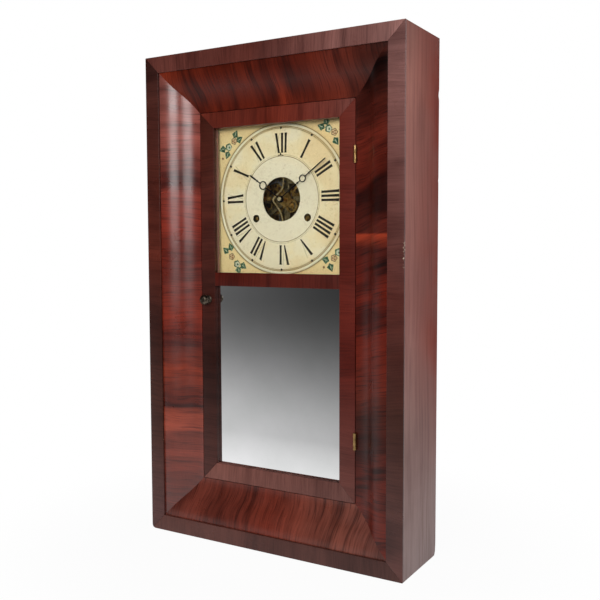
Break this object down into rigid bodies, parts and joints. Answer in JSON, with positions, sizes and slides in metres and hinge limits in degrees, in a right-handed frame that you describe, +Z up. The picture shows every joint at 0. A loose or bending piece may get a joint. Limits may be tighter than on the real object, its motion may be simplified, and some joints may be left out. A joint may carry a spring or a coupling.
{
  "type": "ogee mantel clock",
  "caption": "Weight-driven mantel clock: ogee-moulded veneered case, hinged door with glass and mirror, painted dial, brass strap-plate striking movement, pendulum, weights and gong.",
  "frame": {"origin": "middle of the underside of the case, at the centre of its footprint", "axes": "+X to the right seen from the front, +Y from the front to the back, +Z up"},
  "size_m": [0.388, 0.1064, 0.6704],
  "materials": {
    "mahogany_veneer": "old shellac, satin",
    "crotch_veneer": "shellacked crotch mahogany, semi-gloss",
    "door_mahogany": "shellac, satin",
    "pine": "raw, aged",
    "dial_paint": "aged cream oil paint on zinc",
    "clear_glass": "old window glass",
    "mirror": "silvered glass",
    "dark_brass": "dark tarnished, turned",
    "hinge_brass": "rubbed",
    "clock_brass": "tarnished, stamped",
    "blued_steel": "blackened",
    "steel_wire": "dull",
    "cast_iron": "as cast, dark",
    "tin": "dull tinplate",
    "pulley_wood": "turned hardwood",
    "cotton_cord": "braided cotton"
  },
  "bodies": {
    "case": {"side_board_left": "mahogany_veneer", "side_board_right": "mahogany_veneer", "top_board": "mahogany_veneer", "bottom_board": "mahogany_veneer", "back_board": "pine", "front_bands": "mahogany_veneer", "ogee_left": "crotch_veneer", "ogee_right": "crotch_veneer", "ogee_top": "crotch_veneer", "ogee_bottom": "crotch_veneer", "partitions": "pine", "movement_blocks": "pine", "dial": "dial_paint", "pulley_fittings": "tin", "gong": "cast_iron", "cord_runs": "cotton_cord", "time_cord_drop": "cotton_cord", "strike_cord_drop": "cotton_cord", "hinge_leaves_case": "hinge_brass", "plate_front": "clock_brass", "plate_back": "clock_brass", "pillars": "steel_wire", "front_studs": "clock_brass"},
    "door": {"door_stile_left": "door_mahogany", "door_stile_right": "door_mahogany", "door_rail_top": "door_mahogany", "door_rail_middle": "door_mahogany", "door_rail_bottom": "door_mahogany", "upper_glass": "clear_glass", "mirror_glass": "mirror", "glazing_strips": "door_mahogany", "hinge_leaves_door": "hinge_brass"},
    "door_knob": {"door_knob": "dark_brass"},
    "time_drum": {"time_drum": "clock_brass"},
    "time_main_wheel": {"time_main_wheel": "clock_brass"},
    "second_arbor": {"second_arbor": "clock_brass"},
    "third_arbor": {"third_arbor": "clock_brass"},
    "escape_wheel": {"escape_wheel": "clock_brass"},
    "centre_wheel": {"centre_wheel": "clock_brass"},
    "minute_work": {"minute_arbor": "clock_brass", "minute_hand": "blued_steel"},
    "minute_wheel": {"minute_wheel": "clock_brass"},
    "hour_work": {"hour_wheel": "clock_brass", "hour_hand": "blued_steel"},
    "strike_drum": {"strike_drum": "clock_brass"},
    "strike_main_wheel": {"strike_main_wheel": "clock_brass"},
    "pin_wheel": {"pin_wheel": "clock_brass"},
    "strike_third_arbor": {"strike_third_arbor": "clock_brass"},
    "fly": {"fly": "clock_brass"},
    "count_wheel": {"count_wheel": "clock_brass"},
    "count_lever": {"count_lever": "steel_wire"},
    "hammer": {"hammer": "steel_wire"},
    "verge": {"verge": "steel_wire"},
    "pendulum": {"pendulum_rod": "clock_brass", "pendulum_bob": "clock_brass"},
    "pulley_left": {"pulley_left": "pulley_wood"},
    "pulley_right": {"pulley_right": "pulley_wood"},
    "time_weight": {"time_weight": "cast_iron"},
    "strike_weight": {"strike_weight": "cast_iron"}
  },
  "joints": [
    {"name": "door_hinge", "type": "hinge", "parent": "case", "child": "door", "pos_m": [0.1187, -0.03075, 0.33], "axis": [0, 0, 1], "range_deg": [0, 120]},
    {"name": "door_catch", "type": "hinge", "parent": "door", "child": "door_knob", "pos_m": [-0.1076, -0.02925, 0.329], "axis": [0, 1, 0], "range_deg": [0, 90]},
    {"name": "time_weight_lift", "type": "slide", "parent": "case", "child": "time_weight", "axis": [0, 0, 1], "range_m": [0, 0.3], "deforming": ["time_cord_drop"]},
    {"name": "time_drum_turn", "type": "hinge", "parent": "case", "child": "time_drum", "pos_m": [0.0399, 0.01675, 0.4388], "axis": [0, 1, 0], "range_deg": [-1434, 0]},
    {"name": "pulley_right_turn", "type": "hinge", "parent": "case", "child": "pulley_right", "pos_m": [0.129, 0.01975, 0.65], "axis": [0, 1, 0], "range_deg": [-1147, 0]},
    {"name": "strike_weight_lift", "type": "slide", "parent": "case", "child": "strike_weight", "axis": [0, 0, 1], "range_m": [0, 0.3], "deforming": ["strike_cord_drop"]},
    {"name": "strike_drum_turn", "type": "hinge", "parent": "case", "child": "strike_drum", "pos_m": [-0.0399, 0.01675, 0.4388], "axis": [0, 1, 0], "range_deg": [0, 1434]},
    {"name": "pulley_left_turn", "type": "hinge", "parent": "case", "child": "pulley_left", "pos_m": [-0.129, 0.01975, 0.65], "axis": [0, 1, 0], "range_deg": [0, 1147]},
    {"name": "third_arbor_turn", "type": "hinge", "parent": "case", "child": "third_arbor", "pos_m": [0.01618, 0.01675, 0.48856], "axis": [0, 1, 0], "continuous": true},
    {"name": "second_arbor_turn", "type": "hinge", "parent": "case", "child": "second_arbor", "pos_m": [0.02694, 0.01675, 0.46539], "axis": [0, 1, 0], "continuous": true},
    {"name": "time_main_turn", "type": "hinge", "parent": "case", "child": "time_main_wheel", "pos_m": [0.0399, 0.02675, 0.4388], "axis": [0, 1, 0], "continuous": true},
    {"name": "centre_wheel_turn", "type": "hinge", "parent": "case", "child": "centre_wheel", "pos_m": [0, 0.00675, 0.4636], "axis": [0, 1, 0], "continuous": true},
    {"name": "escape_turn", "type": "hinge", "parent": "case", "child": "escape_wheel", "pos_m": [0, 0.00675, 0.5046], "axis": [0, 1, 0], "continuous": true},
    {"name": "strike_third_turn", "type": "hinge", "parent": "case", "child": "strike_third_arbor", "pos_m": [-0.03429, 0.01675, 0.48942], "axis": [0, 1, 0], "continuous": true},
    {"name": "pin_wheel_turn", "type": "hinge", "parent": "case", "child": "pin_wheel", "pos_m": [-0.02694, 0.01675, 0.46539], "axis": [0, 1, 0], "continuous": true},
    {"name": "strike_main_turn", "type": "hinge", "parent": "case", "child": "strike_main_wheel", "pos_m": [-0.0399, 0.02675, 0.4388], "axis": [0, 1, 0], "continuous": true},
    {"name": "fly_turn", "type": "hinge", "parent": "case", "child": "fly", "pos_m": [-0.02502, 0.01675, 0.50546], "axis": [0, 1, 0], "continuous": true},
    {"name": "count_wheel_turn", "type": "hinge", "parent": "case", "child": "count_wheel", "pos_m": [-0.04444, 0.00075, 0.47788], "axis": [0, 1, 0], "continuous": true},
    {"name": "minute_hand_turn", "type": "hinge", "parent": "case", "child": "minute_work", "pos_m": [0, -0.00325, 0.4636], "axis": [0, 1, 0], "continuous": true},
    {"name": "minute_wheel_turn", "type": "hinge", "parent": "case", "child": "minute_wheel", "pos_m": [0.00849, -0.00025, 0.45511], "axis": [0, 1, 0], "continuous": true},
    {"name": "hour_hand_turn", "type": "hinge", "parent": "case", "child": "hour_work", "pos_m": [0, -0.00825, 0.4636], "axis": [0, 1, 0], "continuous": true},
    {"name": "count_lever_lift", "type": "hinge", "parent": "case", "child": "count_lever", "pos_m": [-0.012, -0.00025, 0.48856], "axis": [0, 1, 0], "range_deg": [0, 8]},
    {"name": "hammer_lift", "type": "hinge", "parent": "case", "child": "hammer", "pos_m": [-0.012, 0.01675, 0.4026], "axis": [0, 1, 0], "range_deg": [0, 8]},
    {"name": "pendulum_swing", "type": "hinge", "parent": "case", "child": "pendulum", "pos_m": [0, -0.00525, 0.5246], "axis": [0, 1, 0], "range_deg": [-3, 3]},
    {"name": "verge_swing", "type": "hinge", "parent": "case", "child": "verge", "pos_m": [0, -0.00125, 0.5246], "axis": [0, 1, 0], "range_deg": [-3, 3]}
  ],
  "couplings": [
    {"joint": "time_drum_turn", "follows": "time_weight_lift", "rad_per_m": -83.333},
    {"joint": "pulley_right_turn", "follows": "time_weight_lift", "rad_per_m": -66.667},
    {"joint": "strike_drum_turn", "follows": "strike_weight_lift", "rad_per_m": 83.333},
    {"joint": "pulley_left_turn", "follows": "strike_weight_lift", "rad_per_m": 66.667},
    {"joint": "second_arbor_turn", "follows": "third_arbor_turn", "ratio": -0.10606},
    {"joint": "time_main_turn", "follows": "third_arbor_turn", "ratio": 0.014141},
    {"joint": "centre_wheel_turn", "follows": "third_arbor_turn", "ratio": 0.10606},
    {"joint": "escape_turn", "follows": "third_arbor_turn", "ratio": -8.5714},
    {"joint": "pin_wheel_turn", "follows": "strike_third_turn", "ratio": -0.11667},
    {"joint": "strike_main_turn", "follows": "strike_third_turn", "ratio": 0.015556},
    {"joint": "fly_turn", "follows": "strike_third_turn", "ratio": -7.1429},
    {"joint": "count_wheel_turn", "follows": "strike_third_turn", "ratio": 0.011966},
    {"joint": "minute_wheel_turn", "follows": "minute_hand_turn", "ratio": -0.33333},
    {"joint": "hour_hand_turn", "follows": "minute_hand_turn", "ratio": 0.083333},
    {"joint": "verge_swing", "follows": "pendulum_swing", "ratio": 1}
  ]
}
